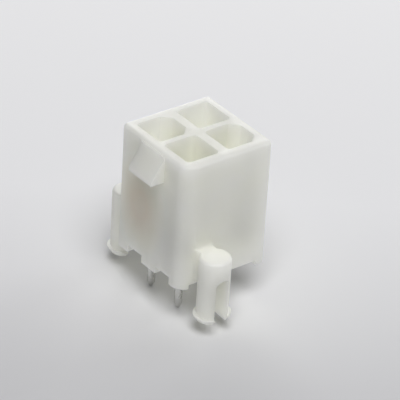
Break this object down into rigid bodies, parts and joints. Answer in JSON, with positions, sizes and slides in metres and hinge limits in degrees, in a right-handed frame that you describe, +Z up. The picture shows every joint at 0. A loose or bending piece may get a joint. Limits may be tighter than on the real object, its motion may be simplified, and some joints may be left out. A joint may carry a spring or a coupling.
{
  "type": "wire to board connector housing",
  "caption": "Upright two-row board header: translucent moulded shroud with keyed sockets, a latch lug and split board pegs, holding pressed-in metal terminals.",
  "frame": {"origin": "middle of the housing at the board face, where the land and feet under it stand", "axes": "+X along a row of circuits, from one peg to the other; +Y across the rows, away from the latch lug; +Z up out of the board, towards the open sockets"},
  "size_m": [0.0162, 0.011, 0.0166],
  "materials": {
    "housing": "natural nylon, milky and slightly translucent, satin moulded surface",
    "terminal": "brass with matte tin plating"
  },
  "bodies": {
    "root": {"housing": "housing", "terminal_1": "terminal", "terminal_2": "terminal", "terminal_3": "terminal", "terminal_4": "terminal"}
  },
  "joints": []
}
